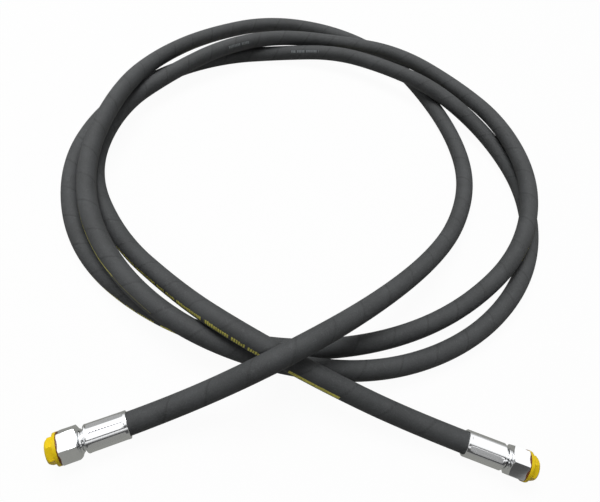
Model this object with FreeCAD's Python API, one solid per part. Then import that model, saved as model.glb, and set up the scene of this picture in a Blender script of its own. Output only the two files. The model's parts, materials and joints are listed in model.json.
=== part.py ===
"""Hydraulic hose assembly: a wire-braided rubber hose laid in loose turns, with a crimped swivel fitting
and a plastic thread plug at each end. Millimetres, +X right, +Y away from the viewer, +Z up, floor at Z = 0,
origin on the floor under the middle of the coil."""
import FreeCAD
import Part
import math
import os

Vector = FreeCAD.Vector

# Hose: bore and the walls of its five layers, from the inside out
HOSE_BORE = 12.7
INNER_TUBE_WALL = 1.95
WIRE_BRAID_WALL = 0.5
INSULATION_WALL = 0.3
COVER_WALL = 1.1
LAYER_GAP = 0.1

# Coil: where its turns lie, seen from above
COIL_CENTRE_X = 0
COIL_CENTRE_Y = 65
POINTS_PER_TURN = 16
FIRST_ANGLE = -45

# Reach from the coil's centre and rise above the floor, at every sixteenth of each turn
TURN_REACHES = [
    [230, 220, 220, 225, 240, 280, 315, 325, 310, 285, 275, 300, 315, 325, 325, 330],
    [330, 325, 310, 280, 240, 230, 235, 240, 255, 275, 305, 325, 335, 320, 305, 295],
    [295, 305, 305, 290, 285, 270, 265, 255, 245, 255, 280, 300, 290, 290],
]
TURN_RISES = [
    [22, 7, 5, 0, 0, 0, 1, 5, 6, 24, 42, 25, 27, 26, 14, 3],
    [0, 0, 0, 6, 26, 20, 14, 0, 0, 2, 1, 7, 1, 0, 0, 0],
    [1, 16, 24, 29, 18, 26, 14, 21, 25, 14, 14, 3, 0, 19],
]

# Ferrule
FERRULE_LENGTH = 38.0
FERRULE_WALL = 2.0
FERRULE_FLANGE = 3.0
FERRULE_CHAMFER = 1.4
CRIMP_FLATS = 8
CRIMP_DEPTH = 0.5
CRIMP_TURN = 10
CRIMP_INSET = 3.0

# Stem
STEM_WALL = 1.55
STEM_TAIL_LENGTH = 30.0
STEM_BARB_PITCH = 4.0
STEM_BARB_DEPTH = 0.45
STEM_SHOULDER_LENGTH = 0.8
STEM_SHOULDER_RADIUS = 9.0
STEM_GRIP_RADIUS = 7.5
STEM_COLLAR_LENGTH = 2.0
STEM_COLLAR_RADIUS = 9.6
STEM_NECK_RADIUS = 8.0
STEM_NOSE_RADIUS = 8.6
STEM_NOSE_LENGTH = 5.6
CONE_HALF_ANGLE = 12
O_RING_SECTION = 0.75
O_RING_PROUD = 0.3

# Swivel nut
NUT_ACROSS_FLATS = 28.0
NUT_LENGTH = 18.5
NUT_HEX_LENGTH = 16.0
NUT_BACK_RADIUS = 11.2
NUT_BACK_WALL = 6.1
NUT_CHAMFER_ANGLE = 28
THREAD_RADIUS = 10.6
WIRE_SECTION = 0.8
WIRE_SETBACK = 3.1
NUT_TURNS = {"a": 0, "b": 10}

# Thread plug and its seal
SEAL_THICKNESS = 0.8
SEAL_WIDTH = 4.3
PLUG_FLANGE_LENGTH = 3.0
PLUG_HEAD_ACROSS_FLATS = 21.5
PLUG_HEAD_LENGTH = 7.1
PLUG_HEAD_BEVEL = 2.4
PLUG_HEAD_TURN = 30
PLUG_BOTTOM = 1.0

# Clearances
SEAT_GAP = 0.1
FIT_GAP = 0.05
PLUG_TO_O_RING = 0.15
PLUG_TO_CONE = 0.7
EDGE_BREAK = 0.5

# Worked out from the sizes above
hose_bore_radius = HOSE_BORE / 2
inner_tube_radius = hose_bore_radius + INNER_TUBE_WALL
inner_braid_radius = inner_tube_radius + LAYER_GAP + WIRE_BRAID_WALL
insulation_radius = inner_braid_radius + LAYER_GAP + INSULATION_WALL
outer_braid_radius = insulation_radius + LAYER_GAP + WIRE_BRAID_WALL
hose_radius = outer_braid_radius + LAYER_GAP + COVER_WALL
seal_radius = THREAD_RADIUS + SEAL_WIDTH
plug_flange_radius = seal_radius + SEAT_GAP
nut_corner_radius = NUT_ACROSS_FLATS / math.sqrt(3)
nut_reach = nut_corner_radius * math.cos(math.radians(30 - max(NUT_TURNS.values())))
fitting_height = max(nut_reach, plug_flange_radius)

# Both fittings lie on the floor: the hose rises from A over the other strands and comes down from them to B
LEAD_A = [
    (-144, -357, fitting_height),
    (-80, -317.5, fitting_height),
    (17, -269.5, 82),
    (100, -178, 47),
]
LEAD_B = [
    (-40, -245, 58),
    (60, -270, 38.5),
    (154, -285, fitting_height),
    (238, -299.5, fitting_height),
]


def route_points():
    """Corner points of the hose's centreline, from fitting A to fitting B."""
    points = [Vector(*corner) for corner in LEAD_A]
    reaches = [reach for turn in TURN_REACHES for reach in turn]
    rises = [rise for turn in TURN_RISES for rise in turn]
    for step, (reach, rise) in enumerate(zip(reaches, rises)):
        angle = math.radians(FIRST_ANGLE + 360 / POINTS_PER_TURN * step)
        x = COIL_CENTRE_X + reach * math.cos(angle)
        y = COIL_CENTRE_Y + reach * math.sin(angle)
        points.append(Vector(x, y, hose_radius + rise))
    points += [Vector(*corner) for corner in LEAD_B]
    return points


def corner_arc(before, corner, after):
    """Tangent arc at one corner, as large as its two runs allow, and its radius."""
    run_in = before - corner
    run_out = after - corner
    cut = 0.45 * min(run_in.Length, run_out.Length)
    half_turn = (math.pi - run_in.getAngle(run_out)) / 2
    radius = cut / math.tan(half_turn)
    run_in.normalize()
    run_out.normalize()
    start = corner + run_in * cut
    end = corner + run_out * cut
    towards_centre = (run_in + run_out).normalize()
    centre = corner + towards_centre * (radius / math.cos(half_turn))
    middle = centre - towards_centre * radius
    return start, middle, end, radius


def hose_path(points):
    """Centreline as one wire of straight runs joined by tangent arcs, and the arcs' radii."""
    edges = []
    radii = []
    here = points[0]
    for before, corner, after in zip(points, points[1:], points[2:]):
        start, middle, end, radius = corner_arc(before, corner, after)
        edges.append(Part.LineSegment(here, start).toShape())
        edges.append(Part.Arc(start, middle, end).toShape())
        radii.append(radius)
        here = end
    edges.append(Part.LineSegment(here, points[-1]).toShape())
    return Part.Wire(edges), radii


def hose_layer(path, inner_radius, outer_radius):
    """One full-length layer of the hose: a ring swept along the centreline."""
    start = path.Edges[0].valueAt(path.Edges[0].FirstParameter)
    direction = path.Edges[0].tangentAt(path.Edges[0].FirstParameter)
    outer = Part.Wire(Part.makeCircle(outer_radius, start, direction))
    inner = Part.Wire(Part.makeCircle(inner_radius, start, direction))
    outside = path.makePipeShell([outer], True, False)
    inside = path.makePipeShell([inner], True, False)
    return outside.cut(inside)


def least_gap(path):
    """Least gap between strands of the hose that lie beside or on each other."""
    spacing = 4.0
    points = path.discretize(Distance=spacing)
    apart = int(6 * hose_radius / spacing)
    nearest = min(
        first.distanceToPoint(second)
        for index, first in enumerate(points)
        for second in points[index + apart:]
    )
    return nearest - 2 * hose_radius


def turned(profile):
    """Solid of revolution about the X axis from points (distance along, radius)."""
    corners = [Vector(along, radius, 0) for along, radius in profile]
    outline = Part.makePolygon(corners + corners[:1])
    return Part.Face(outline).revolve(Vector(0, 0, 0), Vector(1, 0, 0), 360)


def hex_prism(across_flats, start, end, turn=0):
    """Hexagonal bar along X with a flat facing up, or turned from that by some degrees."""
    corner_radius = across_flats / math.sqrt(3)
    corners = []
    for side in range(7):
        angle = math.radians(60 * side + turn)
        corners.append(Vector(start, corner_radius * math.cos(angle), corner_radius * math.sin(angle)))
    return Part.Face(Part.makePolygon(corners)).extrude(Vector(end - start, 0, 0))


def chamfer_ball(face_radius, face_place, side):
    """Ball centred on the X axis that rounds a nut's corners off, down to an end face of this radius."""
    ball_radius = face_radius / math.sin(math.radians(NUT_CHAMFER_ANGLE))
    reach = face_radius / math.tan(math.radians(NUT_CHAMFER_ANGLE))
    return Part.makeSphere(ball_radius, Vector(face_place + side * reach, 0, 0), Vector(1, 0, 0))


def ring(radius, section, along):
    """Round-section ring about the X axis."""
    return Part.makeTorus(radius, section, Vector(along, 0, 0), Vector(1, 0, 0))


# Places along a fitting's axis, outwards from the ferrule's outer end face
hose_end = -FERRULE_FLANGE - STEM_SHOULDER_LENGTH - 2 * SEAT_GAP
ferrule_mouth = -FERRULE_LENGTH
ferrule_bore_radius = hose_radius + FIT_GAP
ferrule_radius = ferrule_bore_radius + FERRULE_WALL
collar_start = FIT_GAP
collar_end = collar_start + STEM_COLLAR_LENGTH
nut_back = collar_end + 3 * SEAT_GAP
nut_front = nut_back + NUT_LENGTH
hex_back = nut_front - NUT_HEX_LENGTH
nut_seat = nut_back + NUT_BACK_WALL
wire_place = nut_back + WIRE_SETBACK
wire_radius = STEM_NECK_RADIUS + 0.4 * WIRE_SECTION
nose_start = nut_seat + 0.4
cone_start = nose_start + STEM_NOSE_RADIUS - STEM_NECK_RADIUS + 0.4
nose_end = cone_start + STEM_NOSE_LENGTH
o_ring_place = cone_start + STEM_NOSE_LENGTH / 2 - 0.3
cone_slope = math.tan(math.radians(CONE_HALF_ANGLE))
cone_radius_at_ring = STEM_NOSE_RADIUS - (o_ring_place - cone_start) * cone_slope
o_ring_radius = cone_radius_at_ring + O_RING_PROUD - O_RING_SECTION
seal_start = nut_front + FIT_GAP
seal_end = seal_start + SEAL_THICKNESS
flange_start = seal_end + FIT_GAP
flange_end = flange_start + PLUG_FLANGE_LENGTH
plug_end = flange_end + PLUG_HEAD_LENGTH
spigot_end = o_ring_place + O_RING_SECTION + PLUG_TO_O_RING
spigot_radius = THREAD_RADIUS - FIT_GAP
spigot_bore_radius = STEM_NOSE_RADIUS - (spigot_end - cone_start) * cone_slope + PLUG_TO_CONE


def ferrule():
    """Crimped sleeve with an inward flange in the stem's groove and flats left by the crimping jaws."""
    grip_bore = STEM_GRIP_RADIUS + FIT_GAP
    body = turned([
        (ferrule_mouth, ferrule_bore_radius + EDGE_BREAK / 2),
        (ferrule_mouth + EDGE_BREAK, ferrule_bore_radius),
        (-FERRULE_FLANGE, ferrule_bore_radius),
        (-FERRULE_FLANGE, grip_bore),
        (0, grip_bore),
        (0, ferrule_radius - FERRULE_CHAMFER),
        (-FERRULE_CHAMFER, ferrule_radius),
        (ferrule_mouth + EDGE_BREAK, ferrule_radius),
        (ferrule_mouth, ferrule_radius - EDGE_BREAK),
    ])
    length = FERRULE_LENGTH - 2 * CRIMP_INSET
    for flat in range(CRIMP_FLATS):
        angle = 360 / CRIMP_FLATS * flat - CRIMP_TURN
        jaw = Part.makeBox(length, 2 * ferrule_radius, ferrule_radius)
        jaw.translate(Vector(ferrule_mouth + CRIMP_INSET, -ferrule_radius, ferrule_radius - CRIMP_DEPTH))
        jaw.rotate(Vector(0, 0, 0), Vector(1, 0, 0), angle)
        body = body.cut(jaw)
    return body


def stem():
    """Hose insert: barbed tail, shoulder, grip groove, visible collar, neck and 24 degree cone nose."""
    tail_radius = hose_bore_radius - FIT_GAP
    root_radius = tail_radius - STEM_BARB_DEPTH
    bore_radius = tail_radius - STEM_WALL
    tail_end = hose_end - STEM_TAIL_LENGTH
    shoulder_start = hose_end + SEAT_GAP
    shoulder_end = shoulder_start + STEM_SHOULDER_LENGTH
    profile = [(tail_end, bore_radius), (tail_end, root_radius)]
    barbs = int((STEM_TAIL_LENGTH - 2) / STEM_BARB_PITCH)
    for barb in range(barbs):
        crest_end = tail_end + STEM_BARB_PITCH * (barb + 1)
        profile.append((crest_end - 0.8, tail_radius))
        profile.append((crest_end - 0.4, tail_radius))
        profile.append((crest_end, root_radius))
    neck_end = nose_start
    tip_radius = STEM_NOSE_RADIUS - STEM_NOSE_LENGTH * cone_slope
    groove_radius = o_ring_radius - O_RING_SECTION - FIT_GAP
    groove_half = O_RING_SECTION + FIT_GAP
    profile += [
        (shoulder_start - 1, tail_radius),
        (shoulder_start, tail_radius),
        (shoulder_start, STEM_SHOULDER_RADIUS),
        (shoulder_end, STEM_SHOULDER_RADIUS),
        (shoulder_end, STEM_GRIP_RADIUS),
        (collar_start, STEM_GRIP_RADIUS),
        (collar_start, STEM_COLLAR_RADIUS - EDGE_BREAK),
        (collar_start + EDGE_BREAK, STEM_COLLAR_RADIUS),
        (collar_end - EDGE_BREAK, STEM_COLLAR_RADIUS),
        (collar_end, STEM_COLLAR_RADIUS - EDGE_BREAK),
        (collar_end, STEM_NECK_RADIUS),
        (neck_end, STEM_NECK_RADIUS),
        (neck_end + STEM_NOSE_RADIUS - STEM_NECK_RADIUS, STEM_NOSE_RADIUS),
        (cone_start, STEM_NOSE_RADIUS),
        (o_ring_place - groove_half, cone_radius_at_ring + groove_half * cone_slope),
        (o_ring_place - groove_half, groove_radius),
        (o_ring_place + groove_half, groove_radius),
        (o_ring_place + groove_half, cone_radius_at_ring - groove_half * cone_slope),
        (nose_end, tip_radius),
        (nose_end, bore_radius + EDGE_BREAK),
        (nose_end - EDGE_BREAK, bore_radius),
    ]
    return turned(profile).cut(ring(wire_radius, WIRE_SECTION + FIT_GAP, wire_place))


def swivel_nut():
    """Hexagon nut that turns freely on the stem's neck, chamfered at both ends and tapered behind."""
    back_bore = STEM_NECK_RADIUS + FIT_GAP
    back_face_radius = NUT_ACROSS_FLATS / 2 - SEAT_GAP
    front_face_radius = nut_corner_radius - 2 * EDGE_BREAK
    thread_start = nut_seat + THREAD_RADIUS - back_bore
    hexagon = hex_prism(NUT_ACROSS_FLATS, hex_back, nut_front)
    hexagon = hexagon.common(chamfer_ball(back_face_radius, hex_back, 1))
    hexagon = hexagon.common(chamfer_ball(front_face_radius, nut_front, -1))
    taper = turned([
        (nut_back, 0),
        (nut_back, NUT_BACK_RADIUS - EDGE_BREAK),
        (nut_back + 2 * EDGE_BREAK, NUT_BACK_RADIUS),
        (hex_back, back_face_radius),
        (hex_back, 0),
    ])
    bore = turned([
        (nut_back - 1, 0),
        (nut_back - 1, back_bore),
        (nut_seat, back_bore),
        (thread_start, THREAD_RADIUS),
        (nut_front - 2 * EDGE_BREAK, THREAD_RADIUS),
        (nut_front, THREAD_RADIUS + 2 * EDGE_BREAK),
        (nut_front + 1, THREAD_RADIUS + 2 * EDGE_BREAK),
        (nut_front + 1, 0),
    ])
    body = hexagon.fuse(taper).cut(bore)
    return body.cut(ring(wire_radius, WIRE_SECTION + FIT_GAP, wire_place))


def nut_wire():
    """Wire ring that holds the nut on the stem."""
    return ring(wire_radius, WIRE_SECTION, wire_place)


def cone_o_ring():
    """Rubber seal in the groove of the cone nose."""
    return ring(o_ring_radius, O_RING_SECTION, o_ring_place)


def plug_seal():
    """Flat seal ring between the nut's face and the plug's flange."""
    return turned([
        (seal_start, THREAD_RADIUS),
        (seal_end, THREAD_RADIUS),
        (seal_end, seal_radius),
        (seal_start, seal_radius),
    ])


def plug():
    """Plastic thread plug: hollow spigot in the nut, round flange and bevelled hexagon head."""
    body = turned([
        (flange_start + PLUG_BOTTOM, 0),
        (flange_start + PLUG_BOTTOM, spigot_bore_radius),
        (spigot_end, spigot_bore_radius),
        (spigot_end, spigot_radius - EDGE_BREAK),
        (spigot_end + EDGE_BREAK, spigot_radius),
        (flange_start, spigot_radius),
        (flange_start, plug_flange_radius - EDGE_BREAK / 2),
        (flange_start + EDGE_BREAK / 2, plug_flange_radius),
        (flange_end - EDGE_BREAK / 2, plug_flange_radius),
        (flange_end, plug_flange_radius - EDGE_BREAK / 2),
        (flange_end, 0),
    ])
    corner_radius = PLUG_HEAD_ACROSS_FLATS / math.sqrt(3)
    bevel = turned([
        (flange_end, 0),
        (flange_end, corner_radius),
        (plug_end - PLUG_HEAD_BEVEL, corner_radius),
        (plug_end, corner_radius - PLUG_HEAD_BEVEL),
        (plug_end, 0),
    ])
    head = hex_prism(PLUG_HEAD_ACROSS_FLATS, flange_end, plug_end, PLUG_HEAD_TURN).common(bevel)
    return body.fuse(head).removeSplitter()


def place_on_end(shape, cut_face, inside, tilt):
    """Move a fitting piece from the X axis to the hose end that it is crimped on, tilted about the axis."""
    outward = (cut_face - inside).normalize()
    upright = FreeCAD.Rotation(outward, Vector(0, 0, 0), Vector(0, 0, 1), "XZY")
    turn = upright * FreeCAD.Rotation(Vector(1, 0, 0), -tilt)
    placed = shape.copy()
    placed.Placement = FreeCAD.Placement(cut_face - outward * hose_end, turn)
    return placed


def build():
    """All pieces of the assembly by node name."""
    points = route_points()
    path, radii = hose_path(points)
    print("hose length %.0f mm, %d arcs" % (path.Length, len(radii)))
    print("arc radii", [round(radius) for radius in radii])
    print("least gap between strands %.2f mm" % least_gap(path))
    layers = {
        "inner_tube": (hose_bore_radius, inner_tube_radius),
        "inner_wire_braid": (inner_tube_radius + LAYER_GAP, inner_braid_radius),
        "insulation_layer": (inner_braid_radius + LAYER_GAP, insulation_radius),
        "outer_wire_braid": (insulation_radius + LAYER_GAP, outer_braid_radius),
        "hose_cover": (outer_braid_radius + LAYER_GAP, hose_radius),
    }
    pieces = {}
    for name, (inner_radius, outer_radius) in layers.items():
        pieces[name] = hose_layer(path, inner_radius, outer_radius)
        section = math.pi * (outer_radius ** 2 - inner_radius ** 2)
        share = pieces[name].Volume / (section * path.Length)
        print("%s volume is %.4f of section times length" % (name, share))
    fittings = {
        "ferrule": ferrule(),
        "stem": stem(),
        "swivel_nut": swivel_nut(),
        "nut_wire": nut_wire(),
        "cone_o_ring": cone_o_ring(),
        "plug_seal": plug_seal(),
        "plug": plug(),
    }
    ends = {"a": (points[0], points[1]), "b": (points[-1], points[-2])}
    for end, (cut_face, inside) in ends.items():
        for name, shape in fittings.items():
            tilt = NUT_TURNS[end] if name == "swivel_nut" else 0
            pieces[name + "_" + end] = place_on_end(shape, cut_face, inside, tilt)
    return pieces


os.makedirs("parts", exist_ok=True)
for node, solid in build().items():
    solid.exportStep("parts/%s.step" % node)
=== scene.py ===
"""Hydraulic hose assembly, dressed: the wire-braided rubber hose in its loose turns, with a crimped zinc
fitting and a yellow thread plug at each end. Metres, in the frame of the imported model."""
import json
import math

import bmesh
import bpy
from mathutils import Matrix, Vector


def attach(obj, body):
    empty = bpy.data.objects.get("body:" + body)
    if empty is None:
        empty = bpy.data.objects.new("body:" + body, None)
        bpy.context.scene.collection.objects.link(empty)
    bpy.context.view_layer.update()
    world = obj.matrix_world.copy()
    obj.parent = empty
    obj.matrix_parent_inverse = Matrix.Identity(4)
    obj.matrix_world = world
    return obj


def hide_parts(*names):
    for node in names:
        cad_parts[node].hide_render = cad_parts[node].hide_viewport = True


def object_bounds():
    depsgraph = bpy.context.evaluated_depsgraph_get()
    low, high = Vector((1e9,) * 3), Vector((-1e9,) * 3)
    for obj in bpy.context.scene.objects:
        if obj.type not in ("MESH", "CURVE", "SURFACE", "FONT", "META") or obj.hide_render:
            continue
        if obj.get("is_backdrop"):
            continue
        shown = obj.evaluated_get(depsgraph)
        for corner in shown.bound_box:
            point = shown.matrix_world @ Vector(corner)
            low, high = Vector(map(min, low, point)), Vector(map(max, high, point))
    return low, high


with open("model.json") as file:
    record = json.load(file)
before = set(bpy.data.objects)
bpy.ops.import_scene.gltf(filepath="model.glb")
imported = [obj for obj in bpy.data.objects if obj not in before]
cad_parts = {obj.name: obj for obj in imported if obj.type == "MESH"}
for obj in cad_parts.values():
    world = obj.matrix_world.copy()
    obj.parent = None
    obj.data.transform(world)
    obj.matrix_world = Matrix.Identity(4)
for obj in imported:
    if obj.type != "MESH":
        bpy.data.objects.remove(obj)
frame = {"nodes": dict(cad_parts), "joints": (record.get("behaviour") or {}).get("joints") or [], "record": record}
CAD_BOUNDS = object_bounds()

bl_info = {
    "name": "Hydraulic Hose Assembly",
    "version": (1, 0, 0),
    "blender": (4, 5, 0),
    "location": "3D View > Sidebar > Hose",
    "description": "Braided hose in loose turns with a crimped swivel fitting and a thread plug at each end",
    "category": "Object",
}

# Route of the hose's centreline: corner points in millimetres, as in the part's source
HOSE_RADIUS_MM = 11.1
FITTING_HEIGHT_MM = 15.191
COIL_CENTRE_X = 0
COIL_CENTRE_Y = 65
POINTS_PER_TURN = 16
FIRST_ANGLE = -45
TURN_REACHES = [
    [230, 220, 220, 225, 240, 280, 315, 325, 310, 285, 275, 300, 315, 325, 325, 330],
    [330, 325, 310, 280, 240, 230, 235, 240, 255, 275, 305, 325, 335, 320, 305, 295],
    [295, 305, 305, 290, 285, 270, 265, 255, 245, 255, 280, 300, 290, 290],
]
TURN_RISES = [
    [22, 7, 5, 0, 0, 0, 1, 5, 6, 24, 42, 25, 27, 26, 14, 3],
    [0, 0, 0, 6, 26, 20, 14, 0, 0, 2, 1, 7, 1, 0, 0, 0],
    [1, 16, 24, 29, 18, 26, 14, 21, 25, 14, 14, 3, 0, 19],
]
LEAD_A = [
    (-144, -357, FITTING_HEIGHT_MM),
    (-80, -317.5, FITTING_HEIGHT_MM),
    (17, -269.5, 82),
    (100, -178, 47),
]
LEAD_B = [
    (-40, -245, 58),
    (60, -270, 38.5),
    (154, -285, FITTING_HEIGHT_MM),
    (238, -299.5, FITTING_HEIGHT_MM),
]

# Layers of the hose from the inside out: node, inside and outside radius in metres, material slot
HOSE_LAYERS = [
    ("inner_tube", 0.00635, 0.0083, "inner_rubber"),
    ("inner_wire_braid", 0.0084, 0.0089, "braid_wire"),
    ("insulation_layer", 0.0090, 0.0093, "insulation_rubber"),
    ("outer_wire_braid", 0.0094, 0.0099, "braid_wire"),
    ("hose_cover", 0.0100, 0.0111, "cover_rubber"),
]

# Where the printed line lies round the hose: metres from end A, degrees from the top to the right-hand side
PRINT_ANGLES = [
    (0.0, 95), (0.35, 97), (1.0, 80), (1.66, 84), (1.735, 80), (1.77, 67), (1.80, 62), (1.84, 70),
    (2.6, 76), (3.50, 98), (3.56, 103), (3.61, 95), (3.68, 90), (4.5, 80), (5.30, 80), (5.37, 80),
    (5.43, 75), (5.46, 74), (5.53, 80), (5.57, 81), (5.79, 95),
]

# What is printed: metres from end A, kind of mark
PRINT_MARKS = [
    (0.32, 0.40, "faint line"), (0.62, 0.80, "ticks"), (0.86, 0.92, "bar"), (1.20, 1.38, "ticks"),
    (1.66, 1.768, "line"), (1.768, 1.826, "faint line"), (2.42, 2.48, "bar"), (2.70, 2.86, "ticks"),
    (2.96, 3.14, "ticks"), (3.545, 3.644, "ticks"), (3.648, 3.668, "bar"), (4.10, 4.30, "ticks"),
    (4.62, 4.68, "bar"), (5.31, 5.46, "small ticks"), (5.465, 5.545, "ticks"), (5.559, 5.614, "bar"),
]

# For each kind of mark: half its height in metres, how strong its ink is, whether it is a row of strokes
MARK_KINDS = {
    "bar": (0.0023, 1.0, 0),
    "line": (0.0006, 1.0, 0),
    "faint line": (0.0005, 0.15, 0),
    "ticks": (0.0030, 1.0, 1),
    "small ticks": (0.0024, 1.0, 1),
}

# Faint pale marks on the other side of the hose: metres from end A, share of the way round the hose,
# where the printed line lies at one half
PALE_MARKS = [(2.415, 2.445, 0.155), (2.888, 2.935, 0.14), (4.828, 4.866, 0.11), (5.195, 5.228, 0.32)]

PALE_MARK_HALF_HEIGHT = 0.0019

# Rows of strokes: metres from stroke to stroke, share of that left blank, share of strokes left out
STROKE_PITCH = 0.0026
STROKE_GAP = 0.30
STROKES_MISSING = 0.10

# Wires in a bundle of the braids, bundles round the hose each way, faces round the layers inside the cover
WIRES_IN_BUNDLE = 5
WIRE_BUNDLES = 8
INNER_LAYER_SIDES = 24

# Crimped ferrule, in metres; what lies further out than the middle of its wall is its outside
FERRULE_BORE = 0.01115
FERRULE_MID_WALL = 0.012
FERRULE_END_WALL = 0.003
FERRULE_END_BORE = 0.00755
CRIMP_MARGIN = 0.003

# Faces round the ferrule, lengths that its crimp is cut into, degrees from one flat to the next
FERRULE_SIDES = 192
CRIMP_LENGTHS = 8
FLAT_SPAN = 45

# Dashed dark line in the colour of end A's ferrule: turn from the top and half width in radians, then in metres
# where it starts and ends from the ferrule's outer end, and from dash to dash
DARK_DASH_TURN = 0.035
DARK_DASH_HALF_WIDTH = 0.045
DARK_DASH_START = 0.003
DARK_DASH_END = 0.035
DARK_DASH_PITCH = 0.0027

# Swivel nut, in metres
NUT_HEX_LENGTH = 0.016
NUT_BACK_WALL = 0.0061
NUT_BACK_BORE = 0.00805
NUT_BACK_RADII = (0.0107, 0.0112)
NUT_SHARP_FROM = 0.0125
NUT_EDGE_WIDTH = 0.00022

# Depth of the threads in metres, and faces round the nuts and plugs
THREAD_DEPTH = 0.0005
TURNED_SIDES = 96

# Thread plug, in metres; the seal lies in the space between nut and flange
PLUG_SEAL_SPACE = 0.0009
PLUG_FLANGE_LENGTH = 0.003
PLUG_HEAD_LENGTH = 0.0071
PLUG_HEAD_BEVEL = 0.0024
PLUG_SPIGOT_LENGTH = 0.0085
PLUG_HOLLOW_RADIUS = 0.00858
PLUG_THREAD_CLEARANCE = 0.00005
PLUG_HEAD_ROOT = 0.0006
PLUG_EDGE_WIDTH = 0.00035

# Camera: place in metres, degrees below the horizon, degrees of roll
CAMERA_PLACE = (0.0085, -0.441, 0.488)
CAMERA_DOWN = 54.83
CAMERA_ROLL = 11.53

# Focal length and width of the sensor, in millimetres
CAMERA_LENS = 28.8
CAMERA_SENSOR = 36

# Floor: width and height in metres, share of its light that is plain white in the picture
FLOOR_SIZE = 12
FLOOR_HEIGHT = -0.0003
FLOOR_WHITENESS = 0.93

# Lamps: name, place and aim in metres, diameter in metres, share of the overhead lamp's power
LAMPS = [
    ("overhead_lamp", (-0.5, 0.6, 2.2), (0, 0, 0), 1.6, 1),
    ("side_lamp", (-1.6, -1.0, 1.2), (0, -0.1, 0), 0.6, 0.08),
]

# Brightness of what the metal reflects, round from behind over the top, at 0.5, to the camera's side, at 0.75
REFLECTED_PANELS = [
    (0.0, 0.4), (0.27, 0.4), (0.33, 1.0), (0.53, 1.0), (0.56, 0.06), (0.60, 0.06), (0.608, 1.0),
    (0.626, 1.0), (0.634, 0.4), (0.642, 0.35), (0.655, 0.05), (0.735, 0.07), (0.75, 0.3),
]
PANEL_STRENGTH = 1.2


class HoseSettings(bpy.types.PropertyGroup):
    """Sizes and colours of the hose."""

    tube_sides: bpy.props.IntProperty(
        name="Sides", description="Faces round the hose cover", default=40, min=12, max=64)
    wrap_pitch: bpy.props.FloatProperty(
        name="Wrap pitch", description="Distance between the edges that the curing wrap leaves on the cover",
        default=0.043, min=0.005, unit="LENGTH")
    cloth_pitch: bpy.props.FloatProperty(
        name="Cloth pitch", description="Distance between the threads of the wrap's imprint",
        default=0.0011, min=0.0003, unit="LENGTH")
    cover_colour: bpy.props.FloatVectorProperty(
        name="Cover", description="Colour of the rubber cover", default=(0.036, 0.038, 0.039),
        size=3, min=0, max=1, subtype="COLOR")
    cover_bloom: bpy.props.FloatVectorProperty(
        name="Bloom", description="Colour of the cover where its surface has bloomed",
        default=(0.060, 0.063, 0.065), size=3, min=0, max=1, subtype="COLOR")
    print_colour: bpy.props.FloatVectorProperty(
        name="Print", description="Colour of the printed line", default=(0.82, 0.76, 0.13),
        size=3, min=0, max=1, subtype="COLOR")
    pale_print_colour: bpy.props.FloatVectorProperty(
        name="Pale print", description="Colour of the faint marks opposite the printed line",
        default=(0.26, 0.29, 0.30), size=3, min=0, max=1, subtype="COLOR")
    braid_colour: bpy.props.FloatVectorProperty(
        name="Braid wire", description="Colour of the brass-coated wire", default=(0.62, 0.50, 0.30),
        size=3, min=0, max=1, subtype="COLOR")


class FittingSettings(bpy.types.PropertyGroup):
    """Sizes and colours of the fittings; lengths run outwards from the ferrule's outer end face."""

    ferrule_length: bpy.props.FloatProperty(
        name="Ferrule length", description="Length of the crimped sleeve", default=0.038, unit="LENGTH")
    ferrule_radius: bpy.props.FloatProperty(
        name="Ferrule radius", description="Outside radius of the crimped sleeve", default=0.01315,
        unit="LENGTH")
    crimp_depth: bpy.props.FloatProperty(
        name="Crimp depth", description="Depth of the flats that the crimping jaws leave", default=0.0004,
        unit="LENGTH")
    crimp_turn: bpy.props.FloatProperty(
        name="Crimp turn", description="Angle of the first flat from straight up", default=math.radians(10),
        subtype="ANGLE")
    nut_across_flats: bpy.props.FloatProperty(
        name="Nut across flats", description="Spanner size of the swivel nut", default=0.028, unit="LENGTH")
    nut_start: bpy.props.FloatProperty(
        name="Nut start", description="Distance from the ferrule to the nut", default=0.00235, unit="LENGTH")
    nut_length: bpy.props.FloatProperty(
        name="Nut length", description="Overall length of the swivel nut", default=0.0185, unit="LENGTH")
    thread_radius: bpy.props.FloatProperty(
        name="Thread radius", description="Radius of the nut's thread crests", default=0.0106, unit="LENGTH")
    thread_pitch: bpy.props.FloatProperty(
        name="Thread pitch", description="Distance between threads", default=0.0015, unit="LENGTH")
    plug_flange_radius: bpy.props.FloatProperty(
        name="Plug flange radius", description="Radius of the plug's flange", default=0.015, unit="LENGTH")
    plug_across_flats: bpy.props.FloatProperty(
        name="Plug across flats", description="Spanner size of the plug's head", default=0.0215,
        unit="LENGTH")
    zinc_colour: bpy.props.FloatVectorProperty(
        name="Zinc", description="Colour of the zinc plating", default=(0.90, 0.91, 0.92),
        size=3, min=0, max=1, subtype="COLOR")
    plug_colour: bpy.props.FloatVectorProperty(
        name="Plug", description="Colour of the thread plugs", default=(1.0, 0.72, 0.01),
        size=3, min=0, max=1, subtype="COLOR")
    seal_colour: bpy.props.FloatVectorProperty(
        name="Seal", description="Colour of the seal under the plug's flange", default=(0.20, 0.065, 0.012),
        size=3, min=0, max=1, subtype="COLOR")


class StageSettings(bpy.types.PropertyGroup):
    """Floor and lamps."""

    floor_colour: bpy.props.FloatVectorProperty(
        name="Floor", description="Colour of the floor", default=(0.5, 0.5, 0.5), size=3, min=0, max=1,
        subtype="COLOR")
    ambient: bpy.props.FloatProperty(
        name="Ambient", description="Strength of the light from all round", default=0.12, min=0)
    overhead: bpy.props.FloatProperty(
        name="Overhead", description="Power of the soft lamp overhead", default=47, min=0, unit="POWER")


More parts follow.
